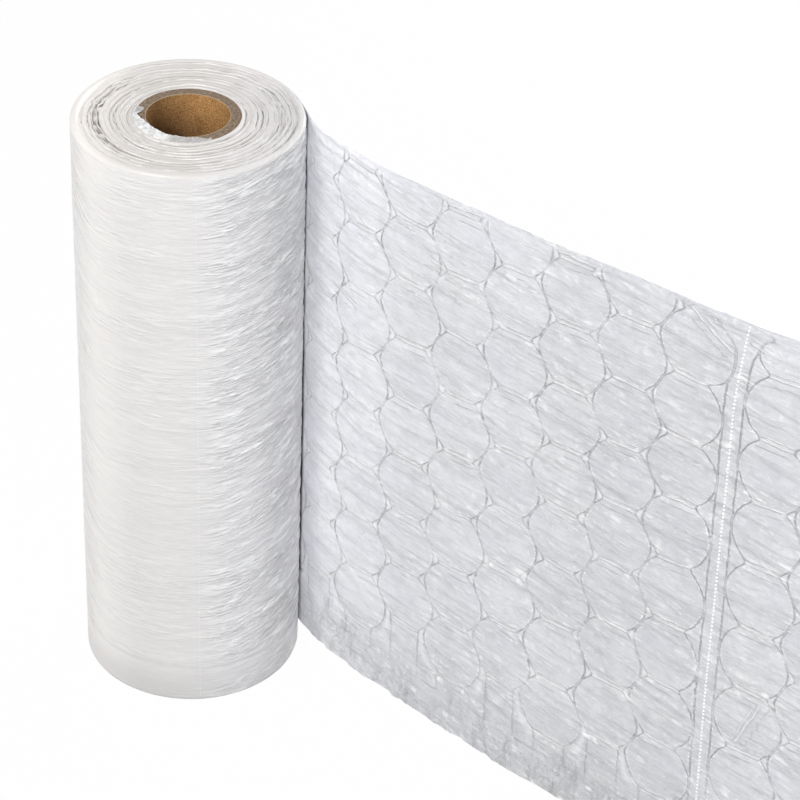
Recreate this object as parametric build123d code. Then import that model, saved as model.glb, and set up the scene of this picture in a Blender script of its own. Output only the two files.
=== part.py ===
from build123d import *
import math
import os

# Air pillow roll: two plies of film, sealed into columns of flat cells, wound on a
# cardboard core. It stands on its end, and its free film is drawn off to one side.
# Millimetres. The origin is on the roll's axis, at the surface that it stands on, +Z up.

# Roll and core
film_width = 400.0
roll_radius = 70.4
core_bore_radius = 25.4
core_wall = 6.4
winding_clearance = 0.1

# Groups of turns that stand back by different amounts at the upper end, unevenly: a swing
# is the step, in radians, of the sine that sets each group's width or recess. Their lower
# ends are level, because the roll's weight presses them to the surface that it stands on
turn_groups = 10
deepest_turn = 2.0
turn_wander = 0.3
width_swing = 2.3
recess_swing = 2.1
recess_middle = 0.55

# Crease round the roll along the upper side of the inflation channel
crease_depth = 0.6
crease_half_width = 1.2

# Film thickness, drawn thicker than the real film so that it is a solid
seal_thickness = 0.8
cell_thickness = 1.6

# Plan of the free film: the angle where it peels off, a bend outwards, then a straight run
peel_angle = 24.5
peel_depth = 0.3
bend_radius = 218.5
bend_angle = 30.0
bend_facets = 6
free_length = 474.0
plain_length = 14.0

# Cells, in columns across the film, joined by necks in each column
column_pitch = 39.2
column_reach = 22.0
cell_pitch = 44.0
neck_width = 21.0
flank_height = 11.5
seal_width = 1.8
channel_height = 27.0
lowest_neck_height = 40.9
top_hem = 6.0

# Tear-off line between two bags, in a strip with a straight seal on each side
perforation_distance = 341.2
perforation_strip = 10.0
perforation_groove = 1.0

# End of the innermost turn, folded over the core's rim
flap_start_angle = 175.0
flap_sweep = 75.0
flap_thickness = 0.6
flap_root = 4.0
flap_overhang = 4.0
flap_lift = 0.2

core_radius = core_bore_radius + core_wall
film_bore_radius = core_radius + winding_clearance
bend_length = bend_radius * math.radians(bend_angle)
columns_top = film_width - top_hem


def left_of(heading):
    """Unit vector square to a plan heading, on its left."""
    return Vector(-math.sin(heading), math.cos(heading), 0)


def peel_frame():
    """Plan point and heading at which the middle of the film leaves the roll."""
    angle = math.radians(peel_angle)
    radius = roll_radius - peel_depth - seal_thickness / 2
    point = Vector(radius * math.cos(angle), radius * math.sin(angle), 0)
    return point, angle - math.pi / 2


def free_frame(distance):
    """Plan point and heading of the free film, a distance past where it peels off."""
    point, heading = peel_frame()
    centre = point + left_of(heading) * bend_radius
    bent = min(distance, bend_length)
    heading += bent / bend_radius
    ahead = Vector(math.cos(heading), math.sin(heading), 0)
    return centre - left_of(heading) * bend_radius + ahead * (distance - bent), heading


def free_line(start, offset):
    """Points in plan from a start to the film's end, set off to the left of its middle."""
    facet = bend_length / bend_facets
    creases = [facet * (index + 1) for index in range(bend_facets)]
    distances = [start, *(crease for crease in creases if crease > start), free_length]
    frames = [free_frame(distance) for distance in distances]
    return [point + left_of(heading) * offset for point, heading in frames]


def free_band(start, thickness, height):
    """The free film's strip of one thickness, standing on its edge."""
    left = free_line(start, thickness / 2)
    right = free_line(start, -thickness / 2)
    return extrude(make_face(Polyline(*left, *reversed(right), close=True)), height)


def turn_radii():
    """Radii between neighbouring groups of turns, unevenly spaced."""
    width = (roll_radius - film_bore_radius) / turn_groups
    inner = [
        film_bore_radius + width * (index + turn_wander * math.sin(width_swing * index))
        for index in range(1, turn_groups)
    ]
    return [film_bore_radius, *inner, roll_radius]


def turn_recess(index):
    """How far one group stands back. The innermost and outermost groups reach the top."""
    if index in (0, turn_groups - 1):
        return 0.0
    swing = (1 - recess_middle) * math.sin(recess_swing * index)
    return deepest_turn * (recess_middle + swing)


def make_coil():
    """The wound turns as one ring, with a stepped upper end and the channel's crease round it."""
    radii = turn_radii()
    top = []
    for index in range(turn_groups):
        height = film_width - turn_recess(index)
        top += [(radii[index], 0, height), (radii[index + 1], 0, height)]
    crease = [
        (roll_radius, 0, channel_height - crease_half_width),
        (roll_radius - crease_depth, 0, channel_height),
        (roll_radius, 0, channel_height + crease_half_width),
    ]
    bottom = [(film_bore_radius, 0, 0), (roll_radius, 0, 0)]
    outline = Polyline(*bottom, *crease, *reversed(top), close=True)
    return revolve(make_face(outline), Axis.Z)


def cell_half_width(rise):
    """Half the width of a column, at a rise above the neck that starts a cell."""
    rise = min(rise, cell_pitch - rise)
    shoulder_rise = (cell_pitch / 2 - flank_height) / 2
    shoulder = column_pitch - seal_width - column_reach
    if rise < shoulder_rise:
        return neck_width / 2 + (shoulder - neck_width / 2) * rise / shoulder_rise
    flank = min((rise - shoulder_rise) / flank_height, 1)
    return shoulder + (column_reach - shoulder) * flank


def column_edge(first_neck):
    """Heights and half widths up one column, from its inlet to the hem at the top."""
    shoulder_rise = (cell_pitch / 2 - flank_height) / 2
    flank_top = shoulder_rise + flank_height
    corners = (0, shoulder_rise, flank_top, cell_pitch - flank_top, cell_pitch - shoulder_rise)
    edge = [(channel_height - seal_width, neck_width / 2)]
    cell_count = math.ceil((columns_top - first_neck) / cell_pitch)
    for cell in range(cell_count):
        neck_height = first_neck + cell * cell_pitch
        for rise in corners:
            if neck_height + rise < columns_top:
                edge.append((neck_height + rise, cell_half_width(rise)))
    last_rise = (columns_top - first_neck) % cell_pitch
    edge.append((columns_top, cell_half_width(last_rise)))
    return edge


def across_film(distance, outline):
    """A prism of a flat outline, square through the free film at a distance along it."""
    point, heading = free_frame(distance)
    along = Vector(math.cos(heading), math.sin(heading), 0)
    plane = Plane(origin=point, x_dir=along, z_dir=-left_of(heading))
    return extrude(plane * make_face(Polyline(*outline, close=True)), column_reach / 2, both=True)


def make_column(distance, first_neck):
    """One column of cells with its inlet, as a prism through the film."""
    edge = column_edge(first_neck)
    right = [(half_width, height) for height, half_width in edge]
    left = [(-half_width, height) for height, half_width in reversed(edge)]
    return across_film(distance, [*right, *left])


def column_places():
    """Distance and first neck height of each column, staggered, both sides of the tear-off line."""
    first_step = perforation_strip / 2 + seal_width + column_reach
    places = []
    index = 0
    distance = perforation_distance - first_step
    while distance - column_reach > plain_length:
        places.append((distance, lowest_neck_height + cell_pitch / 2 * (index % 2)))
        distance -= column_pitch
        index += 1
    index = 1
    distance = perforation_distance + first_step
    while distance + column_reach < free_length:
        places.append((distance, lowest_neck_height + cell_pitch / 2 * (index % 2)))
        distance += column_pitch
        index += 1
    return places


def make_tear_strip():
    """The unsealed strip as two bars, with the tear-off line as the groove between them."""
    inner = perforation_groove / 2
    outer = perforation_strip / 2
    bottom = channel_height - seal_width
    bars = []
    for side in (-1, 1):
        corners = [
            (side * inner, bottom),
            (side * outer, bottom),
            (side * outer, columns_top),
            (side * inner, columns_top),
        ]
        bars.append(across_film(perforation_distance, corners))
    return bars


def make_flap():
    """The inner end of the film, folded inwards over the core's rim."""
    underside = film_width + flap_lift
    upperside = underside + flap_thickness
    root_radius = film_bore_radius + flap_root
    tip_radius = core_radius - flap_overhang
    outline = Polyline(
        (film_bore_radius, 0, film_width - flap_thickness),
        (root_radius, 0, film_width - flap_thickness),
        (root_radius, 0, upperside),
        (tip_radius, 0, upperside),
        (tip_radius, 0, underside),
        (film_bore_radius, 0, underside),
        close=True,
    )
    sector = revolve(make_face(outline), Axis.Z, revolution_arc=flap_sweep)
    return Rot(0, 0, flap_start_angle) * sector


def make_film():
    """The whole film: the coil, its inner flap, and the free film with its raised cells."""
    raised = free_band(plain_length, cell_thickness, film_width)
    cells = [make_column(distance, neck) for distance, neck in column_places()]
    pads = [raised & prism for prism in [*cells, *make_tear_strip()]]
    channel = free_band(plain_length, cell_thickness, channel_height)
    sheet = free_band(0, seal_thickness, film_width)
    film = make_coil() + [make_flap(), sheet, channel, *pads]
    return film.solid()


def make_core():
    """The cardboard tube, cut as long as the film is wide."""
    ring = Circle(core_radius) - Circle(core_bore_radius)
    return extrude(ring, film_width).solid()


nodes = {"core_tube": make_core(), "pillow_film": make_film()}
os.makedirs("parts", exist_ok=True)
for name, shape in nodes.items():
    export_step(shape, f"parts/{name}.step")
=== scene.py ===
import math

import bpy
import numpy as np
from mathutils import Matrix, Vector


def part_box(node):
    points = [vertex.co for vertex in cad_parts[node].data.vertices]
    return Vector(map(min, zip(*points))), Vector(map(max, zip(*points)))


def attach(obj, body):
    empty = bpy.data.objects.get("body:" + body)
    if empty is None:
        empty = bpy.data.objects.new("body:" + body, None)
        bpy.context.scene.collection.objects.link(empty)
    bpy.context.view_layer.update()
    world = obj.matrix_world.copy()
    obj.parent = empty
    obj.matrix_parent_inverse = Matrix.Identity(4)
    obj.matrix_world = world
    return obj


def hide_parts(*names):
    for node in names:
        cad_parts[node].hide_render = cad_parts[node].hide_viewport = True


# Air pillow roll: two plies of milky film wound on a cardboard core, standing on its end,
# with its free film drawn off to the right and towards the viewer.
# Named sizes are in millimetres and angles in degrees. Sizes become metres as a mesh is made.

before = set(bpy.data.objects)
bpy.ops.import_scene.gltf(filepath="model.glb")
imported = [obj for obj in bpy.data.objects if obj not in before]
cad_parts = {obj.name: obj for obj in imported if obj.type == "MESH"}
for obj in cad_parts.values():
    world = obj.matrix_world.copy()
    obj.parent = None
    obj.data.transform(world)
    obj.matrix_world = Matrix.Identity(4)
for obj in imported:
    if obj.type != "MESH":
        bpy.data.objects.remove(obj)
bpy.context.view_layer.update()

MM = 0.001
core_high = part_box("core_tube")[1]
film_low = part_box("pillow_film")[0]
FILM_WIDTH = core_high.z / MM
CORE_RADIUS = core_high.x / MM
ROLL_RADIUS = -film_low.x / MM

# Core: its bore, the plies that show on its cut rim, and the rise of a ply's seam in one turn
BORE_RADIUS = 25.4
RIM_PLY = 0.9
PLY_SEAM_RISE = 120.0

# Roll: groups of turns with uneven upper ends, a ruffled ring, and a rounded outer edge
TURN_GROUP_WIDTH = 3.3
LAST_RING_RADIUS = 65.4
RUFFLE_RADIUS = 56.5
LEFT_RUFFLE_ANGLE = 183.0
RIGHT_RUFFLE_ANGLE = 5.0
SHOULDER_RADIUS = 2.6
SHOULDER_FOOT = FILM_WIDTH - SHOULDER_RADIUS

# Its mesh: steps round it, rows up its side and rings on its upper end
ROUND_SEGMENTS = 200
SIDE_ROWS = 240
TOP_RINGS = 142

# Plan of the free film: where it leaves the roll, a bend outwards, then a long slack curve
PEEL_ANGLE = 24.5
BEND_RADIUS = 198.8
BEND_LENGTH = 92.4
SLACK_RADIUS = 2771.5
FREE_LENGTH = 474.0
TUCK_LENGTH = 14.0
TUCK_DEPTH = 0.9
TOP_LEAN = 6.0
LEAN_RUN = 100.0
FLARE_DEPTH = 21.0
FLARE_RUN = 150.0
FLARE_HEIGHT = 260.0
UPPER_EDGE_DROP = 6.0

# Cells, in columns across the film, joined by necks in each column
COLUMN_PITCH = 39.2
CELL_PITCH = 44.0
NECK_HALF_WIDTH = 10.5
CELL_HALF_WIDTH = 22.2
SHOULDER_NOTCH = 4.7
NOTCH_FADE = 4.4
SEAL_WIDTH = 1.6
SEAM_WIDTH = 1.95
CHANNEL_HEIGHT = 27.0
LOWEST_NECK = 40.9
LAST_COLUMN = 312.6
COLUMNS_BEFORE_TEAR = 9
FIRST_COLUMN_AFTER_TEAR = 369.8
COLUMNS_AFTER_TEAR = 3

# Tear-off line between two bags, and where an earlier one shows on the roll's side
TEAR_LINE = 341.2
TEAR_STRIP_HALF_WIDTH = 5.3
TEAR_CUT_PITCH = 2.7
WOUND_TEAR_ANGLE = -81.6

# Rounded edge of the top cell before the tear-off line: rise over its neck, and half width
TOP_CELL_EDGE = (
    (0, 10.5),
    (2, 15),
    (4, 18.5),
    (7, 21.5),
    (14, 23.8),
    (22, 24.2),
    (30, 22.8),
    (36, 19),
    (40, 13.5),
    (44, 9),
    (60, 9),
)

# Rounded seam after the tear-off line, which swings away from it near the top
SWING_RADIUS = 21
SWING_START = 372

# Heights of the film's own relief
PLY_HALF_GAP = 0.12
CELL_PUFF = 0.75
ISLAND_PUFF = 0.2
CREASE_RIDGE = 0.6
CREASE_REACH = 6.0
SLACK_WAVE = 1.3

# The crevice where the free film meets the roll, darkened there with painted shade, from the tucked end
# outwards
CREVICE_SHADE_END = 17.5

# Longer pulled wrinkles that stand out on the free film: start, end and strength
PULLED_WRINKLES = (
    ((300, 399), (338, 375), 1.0),
    ((128, 352), (160, 346), 0.7),
    ((52, 296), (75, 290), 0.7),
    ((343, 388), (356, 384), 0.5),
    ((338, 367), (352, 363), 0.5),
    ((340, 357), (350, 351), 0.5),
    ((362, 108), (379, 150), 0.7),
)

# Inner edge of the film folded over the core's rim: angle and radius
FLAP_EDGE = (
    (166, 31.6),
    (169, 26.8),
    (178, 27.4),
    (184, 30.4),
    (190, 29.6),
    (200, 27.2),
    (212, 25.8),
    (224, 25.7),
    (238, 26.2),
    (252, 26.6),
    (270, 26.8),
    (288, 28.6),
    (300, 31.4),
)
FLAP_LIFT = 0.95
FLAP_THICKNESS = 0.08

# The photo's camera: its place in metres, its tilt and its turn about its axis, and its lens
CAMERA_PLACE = (0.13304, -1.52416, 1.28601)
CAMERA_DOWN = 35.521
CAMERA_TURN = 2.347
FOCAL_LENGTH = 132.6
SENSOR_WIDTH = 36.0


# Node trees


def feed(tree, socket, value):
    """Link an output to a socket, or set the socket's own value."""
    if isinstance(value, bpy.types.NodeSocket):
        tree.links.new(value, socket)
    else:
        socket.default_value = value


def add_node(tree, kind, inputs=None, **settings):
    """A node with its settings made first, and then its inputs fed."""
    node = tree.nodes.new(kind)
    for name, value in settings.items():
        setattr(node, name, value)
    for key, value in (inputs or {}).items():
        feed(tree, node.inputs[key], value)
    return node


def maths(tree, operation, *values):
    return add_node(tree, "ShaderNodeMath", dict(enumerate(values)), operation=operation).outputs[0]


def vector_maths(tree, operation, *values):
    node = add_node(tree, "ShaderNodeVectorMath", dict(enumerate(values)), operation=operation)
    return node.outputs["Value" if operation in ("DOT_PRODUCT", "LENGTH") else "Vector"]


def join_xyz(tree, x, y, z):
    return add_node(tree, "ShaderNodeCombineXYZ", {0: x, 1: y, 2: z}).outputs[0]


def split_xyz(tree, vector):
    return add_node(tree, "ShaderNodeSeparateXYZ", {0: vector}).outputs


def ramp(tree, value, low, high, start=0.0, end=1.0):
    """A smooth change from start to end while value goes from low to high."""
    inputs = {0: value, 1: low, 2: high, 3: start, 4: end}
    return add_node(tree, "ShaderNodeMapRange", inputs, interpolation_type="SMOOTHSTEP").outputs[0]


def noise(tree, vector, scale, detail=2.0, roughness=0.5, distortion=0.0):
    inputs = {
        "Vector": vector,
        "Scale": scale,
        "Detail": detail,
        "Roughness": roughness,
        "Distortion": distortion,
    }
    return add_node(tree, "ShaderNodeTexNoise", inputs, noise_dimensions="3D").outputs[0]


def mix_colour(tree, factor, first, second, blend="MIX"):
    inputs = {0: factor, 6: first, 7: second}
    node = add_node(tree, "ShaderNodeMix", inputs, data_type="RGBA", blend_type=blend)
    return node.outputs[2]


def tinted(tree, colour, tint):
    return mix_colour(tree, 1.0, colour, tint, "MULTIPLY")


def dimmed(tree, colour, share):
    return tinted(tree, colour, join_xyz(tree, share, share, share))


def scaled(tree, vector, scale):
    inputs = {0: vector, "Scale": scale}
    return add_node(tree, "ShaderNodeVectorMath", inputs, operation="SCALE").outputs[0]


def new_tree(name, kind, inputs, outputs):
    """A node group with named sockets: its tree, what comes in, and what goes out."""
    tree = bpy.data.node_groups.new(name, kind)
    for label, (socket_kind, value) in inputs.items():
        socket = tree.interface.new_socket(label, in_out="INPUT", socket_type=socket_kind)
        if value is not None:
            socket.default_value = value
    for label, socket_kind in outputs.items():
        tree.interface.new_socket(label, in_out="OUTPUT", socket_type=socket_kind)
    return tree, add_node(tree, "NodeGroupInput").outputs, add_node(tree, "NodeGroupOutput").inputs


# Shader groups that several finishes share


def stroke_lines(tree, vector, scale, width):
    """Thin ridges along the level line of a noise, broken up into strokes."""
    level = maths(tree, "ABSOLUTE", maths(tree, "SUBTRACT", noise(tree, vector, scale, 1.0), 0.5))
    gate = ramp(tree, noise(tree, vector, scale * 0.8, 1.0, 0.5, 0.6), 0.48, 0.58)
    return maths(tree, "MULTIPLY", ramp(tree, level, 0.0, width, 1.0, 0.0), gate)


def crinkle_group():
    """Fine wrinkles pulled along the film, with painted highlights on their crests and painted shade just
    below them. The vector counts strokes, along x and y and up z.
    """
    tree, given, out = new_tree(
        "film crinkle",
        "ShaderNodeTree",
        {
            "Vector": ("NodeSocketVector", None),
            "Slant": ("NodeSocketFloat", 1.2),
            "Line width": ("NodeSocketFloat", 0.06),
        },
        {
            "Height": "NodeSocketFloat",
            "Highlight lines": "NodeSocketFloat",
            "Shade": "NodeSocketFloat",
            "Streaks": "NodeSocketFloat",
            "Drift": "NodeSocketFloat",
        },
    )
    drift = noise(tree, given["Vector"], 0.16, 2.0)
    lift = maths(tree, "MULTIPLY", maths(tree, "SUBTRACT", drift, 0.5), given["Slant"])
    lift = maths(tree, "MULTIPLY", lift, 8.0)
    slanted = vector_maths(tree, "ADD", given["Vector"], join_xyz(tree, 0.0, 0.0, lift))
    coarse = stroke_lines(tree, slanted, 0.62, given["Line width"])
    # Painted shade: the same stroke lines just below each crest, where light from above would leave a dark
    # side
    below = vector_maths(tree, "ADD", slanted, (0.0, 0.0, 0.3))
    shade = stroke_lines(tree, below, 0.62, given["Line width"])
    elsewhere = vector_maths(tree, "ADD", slanted, (7.3, 2.1, 5.7))
    fine = stroke_lines(tree, elsewhere, 1.35, given["Line width"])
    soft = noise(tree, slanted, 1.0, 2.0, 0.55)
    streaks = noise(tree, vector_maths(tree, "MULTIPLY", slanted, (0.9, 0.9, 2.1)), 1.0, 3.0, 0.6)
    patches = ramp(tree, noise(tree, given["Vector"], 0.11, 1.0), 0.4, 0.6, 0.6, 1.0)
    lines = maths(tree, "MAXIMUM", coarse, maths(tree, "MULTIPLY", fine, 0.7))
    lines = maths(tree, "MULTIPLY", lines, patches)
    height = maths(tree, "MULTIPLY_ADD", lines, 0.22, soft)
    height = maths(tree, "MULTIPLY", height, patches)
    feed(tree, out["Height"], height)
    feed(tree, out["Highlight lines"], lines)
    feed(tree, out["Shade"], maths(tree, "MULTIPLY", shade, patches))
    feed(tree, out["Streaks"], ramp(tree, streaks, 0.3, 0.7))
    feed(tree, out["Drift"], drift)
    return tree


def grain_group():
    """Speckled fibres of pulp board, as a tone and a height."""
    tree, given, out = new_tree(
        "board grain",
        "ShaderNodeTree",
        {"Vector": ("NodeSocketVector", None), "Size": ("NodeSocketFloat", 0.0009)},
        {"Tone": "NodeSocketFloat", "Height": "NodeSocketFloat"},
    )
    scale = maths(tree, "DIVIDE", 1.0, given["Size"])
    speckle = noise(tree, given["Vector"], scale, 4.0, 0.7)
    cloud = noise(tree, given["Vector"], maths(tree, "DIVIDE", scale, 14.0), 3.0, 0.6)
    tone = maths(tree, "MULTIPLY_ADD", speckle, 0.8, maths(tree, "MULTIPLY", cloud, 0.2))
    feed(tree, out["Tone"], ramp(tree, tone, 0.36, 0.64))
    feed(tree, out["Height"], speckle)
    return tree


CRINKLE = crinkle_group()
GRAIN = grain_group()


# Materials


def new_material(name):
    material = bpy.data.materials.new(name)
    material.use_nodes = True
    tree = material.node_tree
    tree.nodes.clear()
    surface = add_node(tree, "ShaderNodeBsdfPrincipled")
    sink = add_node(tree, "ShaderNodeOutputMaterial")
    feed(tree, sink.inputs["Surface"], surface.outputs[0])
    return material, tree, surface.inputs


def group_node(tree, group, inputs):
    return add_node(tree, "ShaderNodeGroup", inputs, node_tree=group)


def attribute(tree, name):
    return add_node(tree, "ShaderNodeAttribute", attribute_name=name).outputs["Fac"]


def object_vector(tree):
    return add_node(tree, "ShaderNodeTexCoord").outputs["Object"]


def stretched(tree, vector, length, height):
    """A vector that counts strokes of one length, pulled along the film."""
    scale = (1 / (length * MM), 1 / (length * MM), 1 / (height * MM))
    return vector_maths(tree, "MULTIPLY", vector, scale)


def film_surface(tree, surface, colour, strokes, relief, painted_light_share, roughness=0.36, marks=None):
    """Milky film: wrinkle relief, painted highlights on the pulled lines with painted shade just below
    them, and a patchy gloss. Gives its colour.
    """
    drifted = mix_colour(
        tree, ramp(tree, strokes["Drift"], 0.35, 0.65), (0.965, 0.965, 0.97, 1), (1, 1, 1, 1)
    )
    toned = tinted(tree, colour, drifted)
    streaked = mix_colour(
        tree, strokes["Streaks"], (0.91, 0.915, 0.925, 1), (1.04, 1.04, 1.04, 1)
    )
    toned = tinted(tree, toned, streaked)
    # Painted highlights on the wrinkles' crests, and painted shade just below them
    lines = maths(tree, "MULTIPLY", strokes["Highlight lines"], painted_light_share)
    shade = maths(tree, "MULTIPLY", strokes["Shade"], 0.6 * painted_light_share)
    shaded = mix_colour(tree, shade, toned, (0.56, 0.57, 0.59, 1))
    colour = mix_colour(tree, lines, shaded, (0.98, 0.98, 0.98, 1))
    feed(tree, surface["Base Color"], colour)
    gloss = ramp(tree, strokes["Height"], 0.3, 0.7, roughness + 0.08, roughness - 0.06)
    feed(tree, surface["Roughness"], gloss)
    surface["IOR"].default_value = 1.5
    surface["Coat Weight"].default_value = 0.2
    surface["Coat Roughness"].default_value = 0.22
    height = maths(tree, "ADD", strokes["Height"], marks) if marks else strokes["Height"]
    bump = add_node(tree, "ShaderNodeBump", {"Height": height, "Strength": 1.0})
    bump.inputs["Distance"].default_value = relief * MM
    feed(tree, surface["Normal"], bump.outputs[0])
    return colour


def let_light_through(tree, surface, colour, share):
    """Some of the light that falls on the far side of a thin film comes out on this side."""
    through = add_node(tree, "ShaderNodeBsdfTranslucent", {"Color": colour})
    whole = surface["Base Color"].node.outputs[0]
    mixed = add_node(tree, "ShaderNodeMixShader", {0: share, 1: whole, 2: through.outputs[0]})
    sink = next(node for node in tree.nodes if node.type == "OUTPUT_MATERIAL")
    feed(tree, sink.inputs["Surface"], mixed.outputs[0])


def wound_film_material():
    """The roll's side: painted light makes it warm white to the left, and painted shade cooler and darker
    to the right, where it is also more creased.
    """
    material, tree, surface = new_material("wound film")
    place = object_vector(tree)
    x, y, z = split_xyz(tree, place)
    side = maths(tree, "DIVIDE", x, ROLL_RADIUS * MM)
    turned = maths(tree, "ADD", ramp(tree, side, 0.2, 1.1), ramp(tree, side, -1.02, -0.72, 1.2, 0.0))
    risen = join_xyz(tree, x, y, maths(tree, "MULTIPLY_ADD", turned, -0.010, z))
    vector = stretched(tree, risen, 13.0, 1.75)
    pulled = {"Vector": vector, "Slant": 0.35, "Line width": 0.16}
    strokes = group_node(tree, CRINKLE, pulled).outputs
    # Painted light and shade: warm white on the left where the lamp falls, cooler grey to the right, and
    # darker again near the right edge
    painted_side_light = mix_colour(
        tree, ramp(tree, side, -0.95, -0.35), (1.0, 0.975, 0.95, 1), (0.765, 0.75, 0.74, 1)
    )
    colour = mix_colour(tree, ramp(tree, side, 0.0, 0.5), painted_side_light, (0.80, 0.79, 0.80, 1))
    edge = ramp(tree, side, 0.6, 0.95, 1.0, 0.9)
    colour = dimmed(tree, colour, edge)
    # Painted shade: darker towards the bottom
    painted_low_shade = ramp(tree, z, 0.0, 1.3 * CHANNEL_HEIGHT * MM, 0.82, 1.0)
    colour = dimmed(tree, colour, painted_low_shade)
    on_end = ramp(tree, z, (FILM_WIDTH - 3.2) * MM, (FILM_WIDTH - 0.6) * MM)
    # Painted shade: the upward-facing end is made a little darker and warmer, against the light that falls
    # on it
    painted_end_shade = mix_colour(tree, on_end, (1, 1, 1, 1), (0.975, 0.957, 0.94, 1))
    colour = tinted(tree, colour, painted_end_shade)
    # Painted shade in the gaps between the turns at the upper end
    colour = mix_colour(tree, attribute(tree, "gap"), colour, (0.28, 0.245, 0.21, 1))
    calm = maths(
        tree, "ADD", ramp(tree, side, 0.1, 0.45, 0.35, 1.3), ramp(tree, side, 0.6, 0.9, 0.0, 0.6)
    )
    calm = maths(tree, "ADD", calm, ramp(tree, side, -0.95, -0.75, 0.8, 0.0))
    low = ramp(tree, z, (CHANNEL_HEIGHT - 2) * MM, (CHANNEL_HEIGHT + 2) * MM, 0.45, 1.0)
    calm = maths(tree, "MULTIPLY", calm, low)
    calm = maths(tree, "MULTIPLY", calm, maths(tree, "MULTIPLY_ADD", on_end, -0.85, 1.0))
    streaks = maths(tree, "MULTIPLY", maths(tree, "SUBTRACT", strokes["Streaks"], 0.65), calm)
    soft_strokes = {
        "Height": maths(tree, "MULTIPLY", strokes["Height"], calm),
        "Highlight lines": maths(tree, "MULTIPLY", strokes["Highlight lines"], calm),
        "Shade": maths(tree, "MULTIPLY", strokes["Shade"], calm),
        "Streaks": maths(tree, "ADD", streaks, 0.65),
        "Drift": strokes["Drift"],
    }
    film_surface(tree, surface, colour, soft_strokes, 1.9, 0.8)
    return material


def crease_marks(tree, flat):
    """White lines of the creases, part stress whitening and part painted highlight, and painted shade in
    their valleys and below them, from each point's distance off them.
    """
    wobble = maths(tree, "SUBTRACT", noise(tree, flat, 130.0, 3.0), 0.5)
    rise = maths(tree, "MULTIPLY_ADD", wobble, 2.6, attribute(tree, "crease_rise"))
    single = ramp(tree, maths(tree, "ABSOLUTE", rise), 0.35, 0.95, 1.0, 0.0)
    upper = maths(tree, "ABSOLUTE", maths(tree, "SUBTRACT", rise, 2.6))
    double = ramp(tree, noise(tree, flat, 38.0, 1.0), 0.44, 0.52, 0.0, 0.8)
    double = maths(tree, "MULTIPLY", ramp(tree, upper, 0.2, 0.9, 1.0, 0.0), double)
    # Painted shade in the valley between the two creases and below the first
    valley = maths(tree, "ABSOLUTE", maths(tree, "SUBTRACT", rise, 1.6))
    valley = ramp(tree, valley, 0.0, 0.5, 0.35, 0.0)
    below = maths(tree, "ABSOLUTE", maths(tree, "ADD", rise, 1.6))
    shade = maths(tree, "MAXIMUM", valley, ramp(tree, below, 0.0, 0.7, 0.45, 0.0))
    force = attribute(tree, "crease_force")
    # White lines: part stress whitening, part painted highlight
    white = maths(tree, "MULTIPLY", maths(tree, "MAXIMUM", single, double), force)
    return white, maths(tree, "MULTIPLY", shade, force)


def seam_marks(tree, flat, along, up):
    """How grey each seam is, broken up along its length, and the painted highlight ticks beside it."""
    by_tear = ramp(tree, along, 0.26, 0.33)
    strong = maths(tree, "MULTIPLY", by_tear, ramp(tree, up, 0.12, 0.32))
    least = maths(tree, "MULTIPLY_ADD", strong, 0.4, 0.2)
    speckle = ramp(tree, noise(tree, flat, 260.0, 2.0), 0.3, 0.6, least, 0.8)
    faint = ramp(tree, noise(tree, flat, 42.0, 2.0, 0.6), 0.40, 0.56, 0.35, 1.0)
    by_roll = ramp(tree, along, 0.10, 0.2, 0.65, 0.0)
    high_by_tear = maths(tree, "MULTIPLY", by_tear, ramp(tree, up, 0.05, 0.3, 0.5, 1.0))
    faint = maths(tree, "MAXIMUM", faint, maths(tree, "MAXIMUM", high_by_tear, by_roll))
    low = ramp(tree, up, 0.030, 0.075, 0.5, 1.0)
    ends = ramp(tree, up, 0.3935, 0.3975, 1.0, 0.0)
    seal = ramp(tree, attribute(tree, "seal"), 0.15, 0.5)
    core = ramp(tree, attribute(tree, "seal"), 0.55, 1.0, 1.0, 0.6)
    grey = maths(tree, "MULTIPLY", maths(tree, "MULTIPLY", seal, core), speckle)
    grey = maths(tree, "MULTIPLY", grey, faint)
    grey = maths(tree, "MULTIPLY", grey, maths(tree, "MULTIPLY", low, ends))
    # Painted highlights: white ticks beside the seams
    beside = ramp(tree, attribute(tree, "seam"), 0.45, 0.8)
    beside = maths(tree, "MULTIPLY", beside, maths(tree, "SUBTRACT", 1.0, seal))
    ragged = noise(tree, vector_maths(tree, "MULTIPLY", flat, (300.0, 620.0, 1.0)), 1.0, 1.0)
    tick_highlight = maths(tree, "MULTIPLY", ramp(tree, ragged, 0.5, 0.62), beside)
    patchy = ramp(tree, noise(tree, flat, 60.0, 1.0), 0.42, 0.58, 0.15, 0.9)
    return grey, maths(tree, "MULTIPLY", maths(tree, "MULTIPLY", tick_highlight, ends), patchy)


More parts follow.
